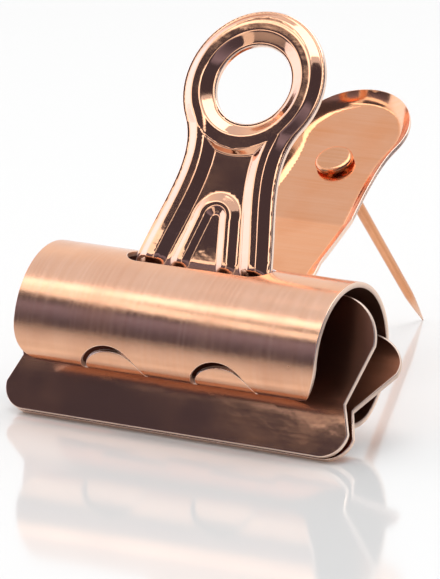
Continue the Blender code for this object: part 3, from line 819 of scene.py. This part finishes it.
def curved_screen(name, bends):
    """A screen of upright bends round the clip, which shows only in the metal's reflections.

    Each bend has its turns, counted from the clip's front, its levels, its distance and its middle's y.
    """
    places, faces = [], []
    for turns, levels, distance, middle_y in bends:
        first, wide = len(places), len(turns)
        places += [
            (distance * math.sin(turn), middle_y - distance * math.cos(turn), level)
            for level in levels for turn in turns
        ]
        corners = [first + row * wide + i for row in range(len(levels) - 1) for i in range(wide - 1)]
        faces += [(i, i + 1, i + wide + 1, i + wide) for i in corners]
    mesh = bpy.data.meshes.new(name)
    mesh.from_pydata(places, [], faces)
    screen = bpy.data.objects.new(name, mesh)
    bpy.context.scene.collection.objects.link(screen)
    screen.visible_camera = screen.visible_diffuse = screen.visible_shadow = False
    return screen


def glowing_paint(name):
    """A paint that only glows, with its nodes and its glow."""
    paint = bpy.data.materials.new(name)
    paint.use_nodes = True
    tree = paint.node_tree
    tree.nodes.remove(tree.nodes["Principled BSDF"])
    glow = put(tree, "ShaderNodeEmission")
    tree.links.new(glow.outputs[0], tree.nodes["Material Output"].inputs["Surface"])
    return paint, tree, glow


card_bends = []
for left, right, top in (FRONT_CARD, RIGHT_CARD):
    card_turns = np.radians(np.linspace(left, right, CARD_COLUMNS))
    card_levels = CARD_DISTANCE * np.tan(np.linspace(0, math.radians(top), CARD_ROWS)) + CARD_LIFT
    card_bends.append((card_turns, card_levels, CARD_DISTANCE, 0))
card = curved_screen("dark_cards", card_bends)
card_paint, card_tree, card_glow = glowing_paint("card_paint")
card_place = put(card_tree, "ShaderNodeNewGeometry").outputs["Position"]
card_height = put(card_tree, "ShaderNodeSeparateXYZ", {"Vector": card_place}).outputs["Z"]
front_card_top = CARD_DISTANCE * math.tan(math.radians(FRONT_CARD[2]))
card_share = put(card_tree, "ShaderNodeMath", {0: card_height, 1: front_card_top}, operation="DIVIDE")
card_tone = put(card_tree, "ShaderNodeValToRGB", {"Fac": card_share.outputs[0]})
card_stops = card_tone.color_ramp.elements
card_stops[0].color = (*CARD_FOOT_TONE, 1)
card_stops[1].color = (*CARD_TOP_TONE, 1)
for share, grey in CARD_TONES:
    card_stops.new(share).color = (*(grey * cool for cool in CARD_COOLNESS), 1)
card_tree.links.new(card_tone.outputs["Color"], card_glow.inputs["Color"])
card.data.materials.append(card_paint)

# Strip light: a low curved strip close in front of the clip, to its left. Only the barrel's front mirrors
# it, as a wide pale stripe, because the jaws look under it and the handle looks over it.
STRIP_DISTANCE = 0.06
STRIP_TURNS = (-80, -16)
STRIP_COLUMNS = 40
STRIP_LEVELS = (0.0475, 0.0618)
STRIP_BRIGHTNESS = 1.55

strip_turns = np.radians(np.linspace(*STRIP_TURNS, STRIP_COLUMNS))
strip = curved_screen("strip_light", [(strip_turns, STRIP_LEVELS, STRIP_DISTANCE, barrel_axis.y)])
strip_paint, _, strip_glow = glowing_paint("strip_paint")
strip_glow.inputs["Color"].default_value = (1, 1, 1, 1)
strip_glow.inputs["Strength"].default_value = STRIP_BRIGHTNESS
strip.data.materials.append(strip_paint)

# Studio light: a soft box overhead and a long light above the front card, in a white room. The metal
# mirrors the room cooler overhead and much brighter on the left, as from a window there.
ROOM_BRIGHTNESS = 0.76
ROOM_WHITE = (1, 1, 1)
ROOM_OVERHEAD = (0.82, 0.89, 1.02)
ROOM_OVERHEAD_SPAN = (0.66, 0.86)
ROOM_WINDOW = (1.45, 1.75, 2.3)
ROOM_WINDOW_SPAN = (-0.70, -0.90)


def soft_box(name, place, size, brightness):
    """A flat light that faces the barrel."""
    light = bpy.data.lights.new(name, "AREA")
    light.shape = "RECTANGLE"
    light.size, light.size_y = size
    light.energy = brightness * math.pi * size[0] * size[1]
    box = bpy.data.objects.new(name, light)
    box.location = place
    box.rotation_euler = (barrel_axis - Vector(place)).to_track_quat("-Z", "Y").to_euler()
    box.visible_camera = False
    bpy.context.scene.collection.objects.link(box)


soft_box("overhead_light", place=(0.02, 0.03, 0.40), size=(0.30, 0.30), brightness=2.0)
soft_box("long_light", place=(-0.239, -0.282, 0.437), size=(0.70, 0.066), brightness=1.35)

room = bpy.data.worlds.new("white_room")
bpy.context.scene.world = room
room.use_nodes = True
room_tree = room.node_tree
room_light = put(room_tree, "ShaderNodeBackground", {"Color": (*ROOM_WHITE, 1), "Strength": ROOM_BRIGHTNESS})
room_way = put(room_tree, "ShaderNodeTexCoord").outputs["Generated"]
room_axes = put(room_tree, "ShaderNodeSeparateXYZ", {"Vector": room_way}).outputs
room_colour = (*ROOM_WHITE, 1)
for axis, (low, high), tone in (
    ("Z", ROOM_OVERHEAD_SPAN, ROOM_OVERHEAD),
    ("X", ROOM_WINDOW_SPAN, ROOM_WINDOW),
):
    span = {"Value": room_axes[axis], "From Min": low, "From Max": high}
    share = put(room_tree, "ShaderNodeMapRange", span).outputs["Result"]
    tones = {0: share, 6: room_colour, 7: (*tone, 1)}
    room_colour = put(room_tree, "ShaderNodeMix", tones, data_type="RGBA").outputs[2]
room_seen = room_tree.nodes["Background"]
room_tree.links.new(room_colour, room_seen.inputs["Color"])
rays = put(room_tree, "ShaderNodeLightPath").outputs
seen = rays["Is Camera Ray"]
for kind in ("Is Glossy Ray", "Is Transmission Ray"):
    seen = put(room_tree, "ShaderNodeMath", {0: seen, 1: rays[kind]}, operation="MAXIMUM").outputs[0]
room_mix = put(
    room_tree, "ShaderNodeMixShader", {"Fac": seen, 1: room_light.outputs[0], 2: room_seen.outputs[0]}
)
room_tree.links.new(room_mix.outputs[0], room_tree.nodes["World Output"].inputs["Surface"])

# Camera: far off with a long lens, to the right of the clip's front and a little above it. It is set up
# so that the clip stands in the picture as in the photo.
CAMERA_TURN = math.radians(30.3)
CAMERA_TILT = math.radians(14.4)
CAMERA_AWAY = 0.3903
CAMERA_RIGHT = 0.00156
CAMERA_UP = 0.00375
LENS_IN_PIXELS = 4937
PICTURE_HEIGHT = 579
SENSOR_HEIGHT = 36
NEAREST_SEEN = 0.01

right = Vector((math.cos(CAMERA_TURN), math.sin(CAMERA_TURN), 0))
forward = Vector((
    -math.sin(CAMERA_TURN) * math.cos(CAMERA_TILT),
    math.cos(CAMERA_TURN) * math.cos(CAMERA_TILT),
    -math.sin(CAMERA_TILT),
))
above = right.cross(forward)
lens = bpy.data.cameras.new("photo_camera")
lens.sensor_fit = "VERTICAL"
lens.sensor_height = SENSOR_HEIGHT
lens.lens = LENS_IN_PIXELS * SENSOR_HEIGHT / PICTURE_HEIGHT
lens.clip_start = NEAREST_SEEN
camera = bpy.data.objects.new("photo_camera", lens)
stand = Matrix((right, above, -forward)).transposed().to_4x4()
stand.translation = barrel_axis - forward * CAMERA_AWAY + right * CAMERA_RIGHT + above * CAMERA_UP
camera.matrix_world = stand
bpy.context.scene.collection.objects.link(camera)
bpy.context.scene.camera = camera
bpy.context.scene.view_settings.view_transform = "Standard"
